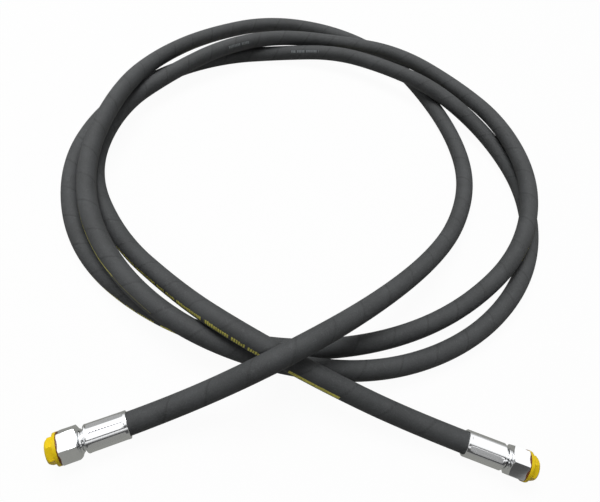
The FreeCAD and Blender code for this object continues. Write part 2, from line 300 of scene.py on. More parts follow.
class AssemblySettings(bpy.types.PropertyGroup):
    """All settings of the hose assembly."""

    hose: bpy.props.PointerProperty(type=HoseSettings, name="Hose")
    fittings: bpy.props.PointerProperty(type=FittingSettings, name="Fittings")
    stage: bpy.props.PointerProperty(type=StageSettings, name="Stage")


class Shade:
    """A socket of a material as a value: arithmetic on it adds Math nodes."""

    def __init__(self, finish, socket):
        self.finish = finish
        self.socket = socket

    def __getitem__(self, name):
        return Shade(self.finish, self.socket.node.outputs[name])

    def __add__(self, other):
        return self.finish.calculate("ADD", self, other)

    def __sub__(self, other):
        return self.finish.calculate("SUBTRACT", self, other)

    def __mul__(self, other):
        return self.finish.calculate("MULTIPLY", self, other)

    def __truediv__(self, other):
        return self.finish.calculate("DIVIDE", self, other)

    def __gt__(self, other):
        return self.finish.calculate("GREATER_THAN", self, other)

    def __lt__(self, other):
        return self.finish.calculate("LESS_THAN", self, other)

    def __radd__(self, other):
        return self.finish.calculate("ADD", other, self)

    def __rsub__(self, other):
        return self.finish.calculate("SUBTRACT", other, self)

    def __rmul__(self, other):
        return self.finish.calculate("MULTIPLY", other, self)

    def __abs__(self):
        return self.finish.calculate("ABSOLUTE", self)

    def part(self):
        """What is left of the value over the whole number below it."""
        return self.finish.calculate("FRACT", self)

    def floor(self):
        return self.finish.calculate("FLOOR", self)

    def wave(self):
        return self.finish.calculate("SINE", self)


class Graph:
    """The nodes of a material or world."""

    def __init__(self, tree):
        self.tree = tree
        tree.nodes.clear()

    def feed(self, node, label, value):
        """Link a value to a socket or set it there."""
        socket = node.inputs[label]
        if isinstance(value, Shade):
            self.tree.links.new(value.socket, socket)
        elif isinstance(value, tuple) and len(value) == 3 and len(socket.default_value) == 4:
            socket.default_value = (*value, 1)
        else:
            socket.default_value = value

    def add(self, kind, settings=None, values=None, output=0):
        """Any node: its type, its settings and what its sockets get."""
        node = self.tree.nodes.new("ShaderNode" + kind)
        for label, value in (settings or {}).items():
            if label == "stops":
                ramp = node.color_ramp.elements
                while len(ramp) < len(value):
                    ramp.new(0.5)
                for element, (place, level) in zip(ramp, value):
                    element.position = place
                    element.color = (*level, 1) if isinstance(level, tuple) else (level, level, level, 1)
            else:
                setattr(node, label, value)
        for label, value in (values or {}).items():
            self.feed(node, label, value)
        return None if output is None else Shade(self, node.outputs[output])

    def calculate(self, operation, *values):
        return self.add("Math", {"operation": operation}, dict(enumerate(values)))

    def noise(self, place, scale, detail=2.0, roughness=0.5, distortion=0.0):
        """Cloudy value around 0.5."""
        return self.add("TexNoise", {}, {
            "Vector": place, "Scale": scale, "Detail": detail, "Roughness": roughness,
            "Distortion": distortion,
        })["Fac"]

    def stretch(self, place, scale):
        """The place with each of its axes scaled."""
        return self.add("VectorMath", {"operation": "MULTIPLY"}, {0: place, 1: scale})

    def ramp(self, value, *stops):
        return self.add("ValToRGB", {"stops": stops}, {"Fac": value})["Color"]

    def blend(self, share, first, second):
        """Colour that goes from the first to the second."""
        mix = self.add("Mix", {"data_type": "RGBA"})
        node = mix.socket.node
        self.feed(node, 0, share)
        self.feed(node, 6, first)
        self.feed(node, 7, second)
        return Shade(self, node.outputs[2])

    def bump(self, height, distance, under=None):
        """Relief of this height, in metres where the value goes from 0 to 1."""
        values = {"Height": height, "Strength": 1.0, "Distance": distance}
        if under is not None:
            values["Normal"] = under
        return self.add("Bump", {}, values)


class Finish(Graph):
    """A procedural material on one Principled shader. Constants go straight on the shader's sockets."""

    def __init__(self, name, **constants):
        self.material = bpy.data.materials.new(name)
        self.material.use_nodes = True
        super().__init__(self.material.node_tree)
        output = self.tree.nodes.new("ShaderNodeOutputMaterial")
        self.shader = self.tree.nodes.new("ShaderNodeBsdfPrincipled")
        self.tree.links.new(self.shader.outputs["BSDF"], output.inputs["Surface"])
        for label, value in constants.items():
            self.feed(self.shader, label.replace("_", " ").title().replace("Ior", "IOR"), value)

    def surface(self, **links):
        for label, value in links.items():
            self.feed(self.shader, label.replace("_", " ").title(), value)
        return self.material


def print_rows(along):
    """Half height, strength of ink and share of strokes of what is printed at a place along the hose."""
    inside = {kind: 0 for kind in MARK_KINDS}
    for start, end, kind in PRINT_MARKS:
        inside[kind] = inside[kind] + (along > start) * (along < end)
    return [sum(inside[kind] * values[column] for kind, values in MARK_KINDS.items()) for column in range(3)]


def hose_cover_finish(settings):
    """Matt rubber with the imprint of the curing wrap, painted shade in the wrap's seams, and a worn yellow print
    along one side.
    """
    finish = Finish("cover_rubber", specular_ior_level=0.42)
    wrap = finish.add("SeparateXYZ", {}, {"Vector": finish.add("UVMap", {"uv_map": "wrap"})})
    round_hose = wrap["X"]
    along = wrap["Y"]
    girth = 2 * math.pi * HOSE_RADIUS_MM / 1000
    place = finish.add("TexCoord")["Object"]
    clouds = finish.noise(place, 28, 4, 0.6)
    grain = finish.noise(place, 900, 2, 0.6)

    turn = (along / settings.wrap_pitch + round_hose + 0.06 * clouds).part()
    seam = finish.ramp(turn, (0.0, 1.0), (0.022, 1.0), (0.05, 0.0), (0.95, 0.0), (1.0, 1.0))
    warp = (along * (2 * math.pi / settings.cloth_pitch)).wave()
    weft = (round_hose * (2 * math.pi * round(girth / settings.cloth_pitch))).wave()
    cloth = warp * weft

    row_height, ink, strokes = print_rows(along)
    step = along / STROKE_PITCH
    chance = finish.add("TexWhiteNoise", {"noise_dimensions": "1D"}, {"W": step.floor()})["Value"]
    stroke = (step.part() > STROKE_GAP) * (chance > STROKES_MISSING)
    gate = 1 - strokes * (1 - stroke)
    half_height = row_height * (1 - 0.35 * strokes * chance)
    inked = (abs(round_hose - 0.5) * girth < half_height) * gate * ink
    worn = finish.ramp(finish.noise(place, 420, 3, 0.7), (0.34, 0.45), (0.50, 1.0))
    printed = inked * worn

    bloom = finish.ramp(clouds, (0.35, 0.0), (0.7, 1.0))
    rubber = finish.blend(bloom, tuple(settings.cover_colour), tuple(settings.cover_bloom))
    # Painted shade: the cover's colour is darkened along the seams, which the bump makes into grooves.
    rubber = finish.blend(seam * 0.45, rubber, tuple(0.45 * value for value in settings.cover_colour))
    rubbed = finish.noise(finish.stretch(place, (1, 1, 2)), 190, 5, 0.75, 0.6)
    scuffs = finish.ramp(rubbed, (0.55, 0.0), (0.78, 1.0))
    dusty = tuple(2.2 * value for value in settings.cover_bloom)
    rubber = finish.blend((grain - 0.5) * 0.7 + 0.06 + 0.35 * scuffs, rubber, dusty)
    pale = sum(
        (along > start) * (along < end) * (abs(round_hose - row) * girth < PALE_MARK_HALF_HEIGHT)
        for start, end, row in PALE_MARKS)
    marked = finish.blend(pale * stroke * worn * 0.6, rubber, tuple(settings.pale_print_colour))
    coloured = finish.blend(printed, marked, tuple(settings.print_colour))
    relief = finish.bump(cloth + 0.8 * grain, 0.00006)
    relief = finish.bump(1 - seam, 0.00015, relief)
    return finish.surface(
        base_color=coloured, roughness=0.56 + 0.16 * clouds + 0.08 * grain, normal=relief)


def braid_finish(settings, name, along_step, bundles):
    """Flat bundles of wire that cross over and under each other, with painted shade in the grooves between the
    wires.
    """
    finish = Finish(name, roughness=0.35, metallic=0.9)
    wrap = finish.add("SeparateXYZ", {}, {"Vector": finish.add("UVMap", {"uv_map": "wrap"})})
    left = wrap["Y"] / along_step + wrap["X"] * bundles
    right = wrap["Y"] / along_step - wrap["X"] * bundles
    over = ((left.floor() + right.floor()) / 2).part() > 0.25
    wire_left = abs(((left * WIRES_IN_BUNDLE).part() - 0.5) * 2)
    wire_right = abs(((right * WIRES_IN_BUNDLE).part() - 0.5) * 2)
    groove = wire_left * over + wire_right * (1 - over)
    # Painted shade: the colour darkens towards 0.35 of the wire's own in the grooves between the wires.
    colour = finish.blend(
        groove, tuple(settings.braid_colour), tuple(0.35 * value for value in settings.braid_colour))
    return finish.surface(base_color=colour, normal=finish.bump(1 - groove, 0.0002))


def rubber_finish(name, colour):
    """Smooth extruded rubber with a faint mottle."""
    finish = Finish(name, specular_ior_level=0.4)
    place = finish.add("TexCoord")["Object"]
    clouds = finish.noise(place, 60, 3)
    colour_now = finish.blend(clouds, colour, tuple(1.5 * value for value in colour))
    return finish.surface(
        base_color=colour_now, roughness=0.5 + 0.2 * clouds,
        normal=finish.bump(finish.noise(place, 1500), 0.00003))


def zinc_finish(settings, name, lines_along, own_axes=True, dashed_line=False):
    """Bright zinc plating over turned or drawn steel, with a dashed dark line along the top of the ferrule on end
    A if asked.
    """
    finish = Finish(name, metallic=1.0)
    world_place = finish.add("TexCoord")["Object"]
    place = finish.add("Attribute", {"attribute_name": "own_place"})["Vector"] if own_axes else world_place
    lined = finish.stretch(place, (60, 1600, 1600) if lines_along else (2600, 60, 60))
    lines = finish.noise(lined, 1.0, 2, 0.55)
    clouds = finish.noise(place, 260, 4, 0.65)
    specks = finish.ramp(finish.noise(place, 1300, 3, 0.7), (0.60, 0.0), (0.70, 1.0))
    dull = finish.blend(
        clouds, tuple(settings.zinc_colour), tuple(0.9 * value for value in settings.zinc_colour))
    colour = finish.blend(specks * 0.2, dull, (0.34, 0.33, 0.30))
    # A dashed dark line in the colour, along the top of the ferrule, on end A only.
    if dashed_line:
        across = finish.add("SeparateXYZ", {}, {"Vector": place})
        angle = finish.calculate("ARCTAN2", across["Y"], across["Z"])
        on_line = abs(angle + DARK_DASH_TURN) < DARK_DASH_HALF_WIDTH
        on_line = on_line * (across["X"] < -DARK_DASH_START) * (across["X"] > -DARK_DASH_END)
        dashes = 0.35 + 0.65 * ((across["X"] / DARK_DASH_PITCH).part() > 0.4)
        on_end_a = finish.add("SeparateXYZ", {}, {"Vector": world_place})["X"] < 0
        colour = finish.blend(on_line * dashes * on_end_a * 0.9, colour, (0.10, 0.10, 0.12))
    relief = finish.bump(lines, 0.000005)
    relief = finish.bump(finish.noise(place, 500, 3), 0.000005, relief)
    return finish.surface(
        base_color=colour, roughness=0.08 + 0.10 * clouds + 0.04 * lines + 0.2 * specks, normal=relief)


def plastic_finish(name, colour, roughness=0.34):
    """Moulded plastic with a dull sheen and faint flow marks."""
    finish = Finish(name, specular_ior_level=0.28)
    place = finish.add("TexCoord")["Object"]
    clouds = finish.noise(place, 130, 3, 0.6)
    colour_now = finish.blend(clouds, colour, tuple(0.86 * value for value in colour))
    return finish.surface(
        base_color=colour_now, roughness=roughness + 0.12 * clouds,
        normal=finish.bump(finish.noise(place, 900, 3), 0.00001))


def turned(name, profile, sides):
    """Closed round piece about the X axis, its ring extruded and resized from point to point of a profile."""
    bpy.ops.object.select_all(action="DESELECT")
    along, radius = profile[0]
    bpy.ops.mesh.primitive_circle_add(
        vertices=sides, radius=radius, location=(along, 0, 0), rotation=(0, math.pi / 2, 0))
    piece = bpy.context.object
    piece.name = name
    bpy.ops.object.transform_apply(location=True, rotation=True, scale=True)
    bpy.ops.object.mode_set(mode="EDIT")
    bpy.ops.mesh.select_all(action="SELECT")
    for next_along, next_radius in profile[1:]:
        bpy.ops.mesh.extrude_region_move(TRANSFORM_OT_translate={"value": (next_along - along, 0, 0)})
        growth = next_radius / radius
        bpy.ops.transform.resize(value=(1, growth, growth), center_override=(next_along, 0, 0))
        along, radius = next_along, next_radius
    bpy.ops.mesh.select_all(action="SELECT")
    bpy.ops.mesh.remove_doubles(threshold=1e-6)
    bpy.ops.mesh.select_non_manifold(extend=False)
    if piece.data.total_edge_sel:
        bpy.ops.mesh.edge_face_add()
    bpy.ops.mesh.select_all(action="SELECT")
    bpy.ops.mesh.normals_make_consistent(inside=False)
    bpy.ops.object.mode_set(mode="OBJECT")
    return piece


def hexagon(name, across_flats, start, end, turn=0):
    """Hexagonal bar along the X axis with a flat facing up, or turned from that by some degrees."""
    bpy.ops.object.select_all(action="DESELECT")
    bpy.ops.mesh.primitive_cylinder_add(
        vertices=6, radius=across_flats / math.sqrt(3), depth=end - start,
        location=((start + end) / 2, 0, 0), rotation=(0, math.pi / 2, 0))
    bar = bpy.context.object
    bar.name = name
    bpy.ops.object.transform_apply(location=True, rotation=True, scale=True)
    bar.data.transform(Matrix.Rotation(math.radians(turn), 4, "X"))
    return bar


def combine(piece, operation, other):
    """Boolean of one piece with another, which is used up."""
    bpy.ops.object.select_all(action="DESELECT")
    bpy.context.view_layer.objects.active = piece
    piece.select_set(True)
    modifier = piece.modifiers.new("cut", "BOOLEAN")
    modifier.operation = operation
    modifier.object = other
    modifier.solver = "EXACT"
    bpy.ops.object.modifier_apply(modifier=modifier.name)
    bpy.data.objects.remove(other)


def select_edges(piece, wanted):
    """Select in edit mode the edges that a test of the edge picks."""
    bpy.ops.mesh.select_mode(type="EDGE")
    bpy.ops.mesh.select_all(action="DESELECT")
    mesh = bmesh.from_edit_mesh(piece.data)
    for edge in mesh.edges:
        edge.select = wanted(edge)
    mesh.select_flush_mode()
    bmesh.update_edit_mesh(piece.data)


def off_axis(point):
    """Distance from the X axis."""
    return math.hypot(point.y, point.z)


def sharp_outside(least_radius, least_angle=0.35):
    """Test for sharp edges that lie at least so far from the X axis."""
    def wanted(edge):
        sharp = len(edge.link_faces) == 2 and edge.calc_face_angle() > least_angle
        return sharp and min(off_axis(corner.co) for corner in edge.verts) > least_radius
    return wanted


def break_edges(piece, wanted, width, segments=2):
    """Bevel the edges that the test picks."""
    bpy.ops.object.select_all(action="DESELECT")
    bpy.context.view_layer.objects.active = piece
    piece.select_set(True)
    bpy.ops.object.mode_set(mode="EDIT")
    bpy.ops.mesh.select_all(action="SELECT")
    bpy.ops.mesh.remove_doubles(threshold=2e-6)
    select_edges(piece, wanted)
    bpy.ops.mesh.bevel(offset=width, segments=segments, affect="EDGES", clamp_overlap=True)
    bpy.ops.mesh.select_all(action="SELECT")
    bpy.ops.mesh.normals_make_consistent(inside=False)
    bpy.ops.object.mode_set(mode="OBJECT")


def smooth(piece, angle):
    bpy.ops.object.select_all(action="DESELECT")
    bpy.context.view_layer.objects.active = piece
    piece.select_set(True)
    bpy.ops.object.shade_smooth_by_angle(angle=math.radians(angle))


def chamfer_arc(face_place, face_radius, outer_radius, side, angle=28, steps=5):
    """Points of the ball-shaped chamfer that takes a hexagon's corners off, from its end face outwards."""
    ball = face_radius / math.sin(math.radians(angle))
    reach = math.sqrt(ball ** 2 - face_radius ** 2)
    points = []
    for step in range(1, steps + 1):
        radius = face_radius + (outer_radius - face_radius) * step / steps
        points.append((face_place + side * (reach - math.sqrt(ball ** 2 - radius ** 2)), radius))
    return points


def fitting_axes(end, turned_with=None):
    """Matrix from a fitting's own axes, X outwards and Z up, to its place on the hose."""
    joint = next(joint for joint in frame["joints"] if joint["name"] == "nut_swivel_" + end)
    outward = Vector(joint["axis"]).normalized()
    up = Vector((0, 0, 1))
    if turned_with:
        mounts = frame["record"]["mounts"]
        up = Vector(next(mount for mount in mounts if mount["name"] == turned_with + end)["axis"])
    flat = (up - outward * up.dot(outward)).normalized()
    matrix = Matrix((outward, flat.cross(outward), flat)).transposed().to_4x4()
    matrix.translation = joint["pos_m"]
    return matrix


def put_on_both_ends(model, name, node, body, turned_with=None):
    """Place the modelled piece on end A and a copy with its own mesh on end B, for their CAD nodes."""
    places = [value for corner in model.data.vertices for value in corner.co]
    own_place = model.data.attributes.new("own_place", "FLOAT_VECTOR", "POINT")
    own_place.data.foreach_set("vector", places)
    twin = model.copy()
    twin.data = model.data.copy()
    bpy.context.scene.collection.objects.link(twin)
    for piece, end in ((model, "a"), (twin, "b")):
        piece.name = name + "_" + end
        piece.data.transform(fitting_axes(end, turned_with))
        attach(piece, body.replace("_end", "_" + end))
        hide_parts(node + "_" + end)


def route_points():
    """Corner points of the hose's centreline, from fitting A to fitting B, in metres."""
    corners = list(LEAD_A)
    reaches = [reach for turn in TURN_REACHES for reach in turn]
    rises = [rise for turn in TURN_RISES for rise in turn]
    for step, (reach, rise) in enumerate(zip(reaches, rises)):
        angle = math.radians(FIRST_ANGLE + 360 / POINTS_PER_TURN * step)
        x = COIL_CENTRE_X + reach * math.cos(angle)
        y = COIL_CENTRE_Y + reach * math.sin(angle)
        corners.append((x, y, HOSE_RADIUS_MM + rise))
    corners += LEAD_B
    return [Vector(corner) / 1000 for corner in corners]


def centreline():
    """Points of the smooth curve that the hose follows, read from the route's spline."""
    corners = route_points()
    curve = bpy.data.curves.new("hose_route", "CURVE")
    curve.dimensions = "3D"
    curve.resolution_u = 22
    spline = curve.splines.new("NURBS")
    spline.points.add(len(corners) - 1)
    for point, corner in zip(spline.points, corners):
        point.co = (*corner, 1)
    spline.order_u = 3
    spline.use_endpoint_u = True
    route = bpy.data.objects.new("hose_route", curve)
    bpy.context.scene.collection.objects.link(route)
    line = bpy.data.meshes.new_from_object(route)
    points = [corner.co.copy() for corner in line.vertices]
    bpy.data.objects.remove(route)
    bpy.data.curves.remove(curve)
    bpy.data.meshes.remove(line)
    return points


def print_angle(distance):
    """Angle of the printed line from the top of the hose, at a distance from end A."""
    for (start, first), (end, second) in zip(PRINT_ANGLES, PRINT_ANGLES[1:]):
        if distance <= end:
            share = max(0.0, (distance - start) / (end - start))
            share = share * share * (3 - 2 * share)
            return math.radians(first + (second - first) * share)
    return math.radians(PRINT_ANGLES[-1][1])


def hose_frames(points):
    """For each point: the point, its distance from end A, up and sideways across the hose."""
    frames = []
    distance = 0.0
    for index, point in enumerate(points):
        before = points[max(index - 1, 0)]
        after = points[min(index + 1, len(points) - 1)]
        tangent = (after - before).normalized()
        side = tangent.cross(Vector((0, 0, 1))).normalized()
        if index:
            distance += (point - before).length
        frames.append((point, distance, side.cross(tangent), side))
    return frames


def hose_wall(frames, radius, sides):
    """Rings of corners of one wall, each starting opposite the printed line."""
    rings = []
    for point, distance, up, side in frames:
        first = print_angle(distance) - math.pi
        ring = []
        for step in range(sides):
            angle = first + 2 * math.pi * step / sides
            ring.append(point + radius * (math.cos(angle) * up + math.sin(angle) * side))
        rings.append(ring)
    return rings


def hose_layer(name, frames, inner_radius, outer_radius, sides, inner_step=2):
    """One layer of the hose: outer wall, inner wall and the two cut ends, with wrap coordinates in metres."""
    inner_frames = frames[::inner_step]
    if inner_frames[-1] is not frames[-1]:
        inner_frames = inner_frames + [frames[-1]]
    corners = []
    faces = []
    wraps = []
    for wall_frames, radius, outside in ((frames, outer_radius, True), (inner_frames, inner_radius, False)):
        base = len(corners)
        for ring in hose_wall(wall_frames, radius, sides):
            corners.extend(ring)
        for row, (here, there) in enumerate(zip(wall_frames, wall_frames[1:])):
            for step in range(sides):
                following = (step + 1) % sides
                near = base + row * sides
                far = near + sides
                face = [near + step, near + following, far + following, far + step]
                wrap = [(step, here[1]), (step + 1, here[1]), (step + 1, there[1]), (step, there[1])]
                if outside:
                    face.reverse()
                    wrap.reverse()
                faces.append(face)
                wraps.extend((place / sides, distance) for place, distance in wrap)
    outer_last = (len(frames) - 1) * sides
    inner_first = len(frames) * sides
    inner_last = inner_first + (len(inner_frames) - 1) * sides
    for outer, inner, distance, start in (
            (0, inner_first, 0.0, True), (outer_last, inner_last, frames[-1][1], False)):
        for step in range(sides):
            following = (step + 1) % sides
            face = [outer + step, outer + following, inner + following, inner + step]
            places = [step, step + 1, step + 1, step]
            if not start:
                face.reverse()
                places.reverse()
            faces.append(face)
            wraps.extend((place / sides, distance) for place in places)
    mesh = bpy.data.meshes.new(name)
    mesh.from_pydata(corners, [], faces)
    layer = mesh.uv_layers.new(name="wrap")
    layer.data.foreach_set("uv", [value for wrap in wraps for value in wrap])
    mesh.polygons.foreach_set("use_smooth", [True] * len(faces))
    mesh.update()
    piece = bpy.data.objects.new(name, mesh)
    bpy.context.scene.collection.objects.link(piece)
    return piece


class HOSE_OT_stage(bpy.types.Operator):
    """Floor, lamps, background and camera"""

    bl_idname = "hose.stage"
    bl_label = "Stage and Camera"

    def execute(self, context):
        settings = context.scene.hose_assembly.stage
        context.scene.view_settings.view_transform = "Standard"
        camera_data = bpy.data.cameras.new("camera")
        camera_data.lens = CAMERA_LENS
        camera_data.sensor_width = CAMERA_SENSOR
        camera = bpy.data.objects.new("camera", camera_data)
        tilt = Matrix.Rotation(math.radians(90 - CAMERA_DOWN), 4, "X")
        roll = Matrix.Rotation(math.radians(CAMERA_ROLL), 4, "Z")
        camera.matrix_world = Matrix.Translation(CAMERA_PLACE) @ tilt @ roll
        context.scene.collection.objects.link(camera)
        context.scene.camera = camera
        self.add_floor(settings)
        self.add_world(context, settings)
        self.add_lamps(context, settings)
        return {"FINISHED"}

    def add_floor(self, settings):
        """Pale floor that shows the object's shadow and is white in the picture and in reflections."""
        bpy.ops.object.select_all(action="DESELECT")
        bpy.ops.mesh.primitive_plane_add(size=FLOOR_SIZE, location=(0, 0, FLOOR_HEIGHT))
        floor = bpy.context.object
        floor.name = "studio_floor"
        material = bpy.data.materials.new("studio_floor")
        material.use_nodes = True
        graph = Graph(material.node_tree)
        rays = graph.add("LightPath")
        plain_view = rays["Is Camera Ray"] + rays["Is Transmission Ray"] + rays["Is Glossy Ray"]
        tone = graph.blend(rays["Is Glossy Ray"], (1.03, 1.03, 1.03), (0.29, 0.29, 0.27))
        matt = graph.add("BsdfDiffuse", {}, {"Color": tuple(settings.floor_colour)})
        white = graph.add("Emission", {}, {"Color": tone, "Strength": 1.0})
        seen = graph.add("MixShader", {}, {"Fac": plain_view * FLOOR_WHITENESS, 1: matt, 2: white})
        graph.add("OutputMaterial", {}, {"Surface": seen}, output=None)
        floor.data.materials.append(material)
        floor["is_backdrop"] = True

    def add_world(self, context, settings):
        """Even light from all round, white behind the object, and panels that only the metal reflects."""
        world = bpy.data.worlds.new("studio_surround")
        context.scene.world = world
        world.use_nodes = True
        graph = Graph(world.node_tree)
        rays = graph.add("LightPath")
        ray = graph.add("SeparateXYZ", {}, {"Vector": graph.add("TexCoord")["Generated"]})
        towards_camera = graph.calculate("ARCTAN2", 0 - ray["Y"], ray["Z"]) / math.tau + 0.5
        panels = graph.ramp(towards_camera, *REFLECTED_PANELS) * PANEL_STRENGTH
        straight = rays["Is Camera Ray"] + rays["Is Transmission Ray"]
        glossy = rays["Is Glossy Ray"]
        strength = straight + glossy * panels + (1 - straight - glossy) * settings.ambient
        light = graph.add("Background", {}, {"Color": (1, 1, 1), "Strength": strength})
        graph.add("OutputWorld", {}, {"Surface": light}, output=None)

    def add_lamps(self, context, settings):
        """One large soft lamp overhead and a small one from the left."""
        for name, place, target, size, share in LAMPS:
            lamp_data = bpy.data.lights.new(name, "AREA")
            lamp_data.shape = "DISK"
            lamp_data.size = size
            lamp_data.energy = settings.overhead * share
            lamp = bpy.data.objects.new(name, lamp_data)
            aim = Vector(target) - Vector(place)
            lamp.matrix_world = Matrix.Translation(place) @ aim.to_track_quat("-Z", "Y").to_matrix().to_4x4()
            context.scene.collection.objects.link(lamp)


class HOSE_OT_ferrules(bpy.types.Operator):
    """Crimped sleeves that hold the hose on its stems"""

    bl_idname = "hose.ferrules"
    bl_label = "Ferrules"

    def execute(self, context):
        settings = context.scene.hose_assembly.fittings
        radius = settings.ferrule_radius
        mouth = -settings.ferrule_length
        crimp_start = mouth + CRIMP_MARGIN
        crimp_end = -CRIMP_MARGIN
        outside = [(mouth + 0.0004, radius), (crimp_start - 0.0003, radius), (crimp_start + 0.0003, radius)]
        for cut in range(1, CRIMP_LENGTHS):
            outside.append((crimp_start + (crimp_end - crimp_start) * cut / CRIMP_LENGTHS, radius))
        outside += [(crimp_end - 0.0003, radius), (crimp_end + 0.0003, radius), (-0.0014, radius)]
        profile = [(mouth, FERRULE_BORE + 0.0003), (mouth, radius - 0.0004)] + outside + [
            (-0.0008, radius - 0.0004),
            (-0.0003, radius - 0.0010),
            (0, radius - 0.0018),
            (0, FERRULE_END_BORE),
            (-FERRULE_END_WALL, FERRULE_END_BORE),
            (-FERRULE_END_WALL, FERRULE_BORE),
            (mouth + 0.0005, FERRULE_BORE),
            (mouth, FERRULE_BORE + 0.0003),
        ]
        ferrule = turned("ferrule", profile, FERRULE_SIDES)
        self.crimp(ferrule, settings, crimp_start, crimp_end)
        smooth(ferrule, 20)
        ferrule.data.materials.append(zinc_finish(settings, "drawn_zinc", True, dashed_line=True))
        put_on_both_ends(ferrule, "crimped_ferrule", "ferrule", "hose")
        return {"FINISHED"}

    def crimp(self, ferrule, settings, start, end):
        """Press in eight flats with ridges between them, as the jaws leave, and turn them into place."""
        radius = settings.ferrule_radius
        flat_at = radius - settings.crimp_depth
        step = 360 / FERRULE_SIDES
        bpy.ops.object.mode_set(mode="EDIT")
        bpy.ops.mesh.select_mode(type="VERT")
        for column in range(int(math.degrees(math.acos(flat_at / radius)) / step) + 1):
            bpy.ops.mesh.select_all(action="DESELECT")
            mesh = bmesh.from_edit_mesh(ferrule.data)
            for corner in mesh.verts:
                angle = math.degrees(math.atan2(corner.co.y, corner.co.z))
                angle = (angle + FLAT_SPAN / 2) % FLAT_SPAN - FLAT_SPAN / 2
                in_column = abs(abs(angle) - column * step) < 0.5 * step
                outer = off_axis(corner.co) > FERRULE_MID_WALL
                corner.select = in_column and start < corner.co.x < end and outer
            mesh.select_flush_mode()
            bmesh.update_edit_mesh(ferrule.data)
            press = flat_at / math.cos(math.radians(column * step)) / radius
            bpy.ops.transform.resize(value=(1, press, press), center_override=(0, 0, 0))
        bpy.ops.object.mode_set(mode="OBJECT")
        ferrule.data.transform(Matrix.Rotation(-settings.crimp_turn, 4, "X"))


class HOSE_OT_swivel_nuts(bpy.types.Operator):
    """Hexagon nuts that turn on the stems"""

    bl_idname = "hose.swivel_nuts"
    bl_label = "Swivel Nuts"

    def execute(self, context):
        settings = context.scene.hose_assembly.fittings
        back = settings.nut_start
        front = back + settings.nut_length
        hex_back = front - NUT_HEX_LENGTH
        corner = settings.nut_across_flats / math.sqrt(3) + 0.0002
        face_radius = settings.nut_across_flats / 2 - 0.0001
        front_radius = settings.nut_across_flats / math.sqrt(3) - 0.001
        thread = settings.thread_radius
        seat = back + NUT_BACK_WALL
        outside = [(back, NUT_BACK_RADII[0]), (back + 0.001, NUT_BACK_RADII[1]), (hex_back, face_radius)]
        outside += chamfer_arc(hex_back, face_radius, corner, 1)
        outside += chamfer_arc(front, front_radius, corner, -1)[::-1]
        inside = [(front, front_radius), (front, thread + 0.001), (front - 0.001, thread)]
        ridge = front - 0.001
        while ridge - settings.thread_pitch > seat + 0.003:
            inside += [
                (ridge - 0.15 * settings.thread_pitch, thread),
                (ridge - 0.45 * settings.thread_pitch, thread + THREAD_DEPTH),
                (ridge - 0.65 * settings.thread_pitch, thread + THREAD_DEPTH),
                (ridge - 0.95 * settings.thread_pitch, thread),
            ]
            ridge -= settings.thread_pitch
        inside += [(seat + thread - NUT_BACK_BORE, thread), (seat, NUT_BACK_BORE), (back, NUT_BACK_BORE)]
        nut = turned("swivel_nut", [(back, NUT_BACK_BORE)] + outside + inside, TURNED_SIDES)
        combine(nut, "INTERSECT", hexagon("flats", settings.nut_across_flats, back - 0.001, front + 0.001))
        break_edges(nut, sharp_outside(NUT_SHARP_FROM), NUT_EDGE_WIDTH)
        smooth(nut, 25)
        nut.data.materials.append(zinc_finish(settings, "turned_zinc", False))
        put_on_both_ends(
            nut, "zinc_nut", "swivel_nut", "nut_end", "nut_spanner_flat_")
        return {"FINISHED"}


class HOSE_OT_plugs(bpy.types.Operator):
    """Yellow plugs that keep the nuts' threads clean"""

    bl_idname = "hose.plugs"
    bl_label = "Thread Plugs"

    def execute(self, context):
        settings = context.scene.hose_assembly.fittings
        flange_start = settings.nut_start + settings.nut_length + PLUG_SEAL_SPACE
        flange_end = flange_start + PLUG_FLANGE_LENGTH
        head_end = flange_end + PLUG_HEAD_LENGTH
        spigot_end = flange_start - PLUG_SPIGOT_LENGTH
        spigot = settings.thread_radius - PLUG_THREAD_CLEARANCE
        flange = settings.plug_flange_radius
        hollow = PLUG_HOLLOW_RADIUS
        profile = [(flange_start + 0.001, 0.0001), (flange_start + 0.001, hollow - 0.0004)]
        profile += [(flange_start + 0.0006, hollow), (spigot_end + 0.0002, hollow)]
        profile += [(spigot_end, hollow + 0.0003)]
        profile += [(spigot_end, spigot - 0.0008), (spigot_end + 0.0006, spigot - THREAD_DEPTH)]
        ridge = spigot_end + 0.0006
        while ridge + settings.thread_pitch < flange_start - 0.0004:
            profile += [
                (ridge + 0.30 * settings.thread_pitch, spigot),
                (ridge + 0.50 * settings.thread_pitch, spigot),
                (ridge + 0.80 * settings.thread_pitch, spigot - THREAD_DEPTH),
                (ridge + 1.00 * settings.thread_pitch, spigot - THREAD_DEPTH),
            ]
            ridge += settings.thread_pitch
        profile += [(flange_start - 0.0003, spigot - THREAD_DEPTH), (flange_start, spigot)]
        profile += [(flange_start, flange - 0.0003), (flange_start + 0.0003, flange)]
        profile += [(flange_end - 0.0005, flange), (flange_end - 0.00015, flange - 0.00015)]
        profile += [(flange_end, flange - 0.0006), (flange_end, 0.0001)]
        plug = turned("plug", profile, TURNED_SIDES)
        corner = settings.plug_across_flats / math.sqrt(3)
        head_start = flange_end - PLUG_HEAD_ROOT
        bevel = turned("bevel", [
            (head_start, 0.0001),
            (head_start, corner + 0.0001),
            (head_end - PLUG_HEAD_BEVEL, corner + 0.0001),
            (head_end, corner - PLUG_HEAD_BEVEL),
            (head_end, 0.0001),
        ], TURNED_SIDES)
        head = hexagon("head", settings.plug_across_flats, head_start, head_end + 0.001, 30)
        combine(head, "INTERSECT", bevel)
        combine(plug, "UNION", head)
        break_edges(plug, lambda edge: edge_on_head(edge, flange_end), PLUG_EDGE_WIDTH, 3)
        smooth(plug, 25)
        plug.data.materials.append(plastic_finish("yellow_plastic", tuple(settings.plug_colour)))
        put_on_both_ends(plug, "yellow_plug", "plug", "plug_end")
        return {"FINISHED"}


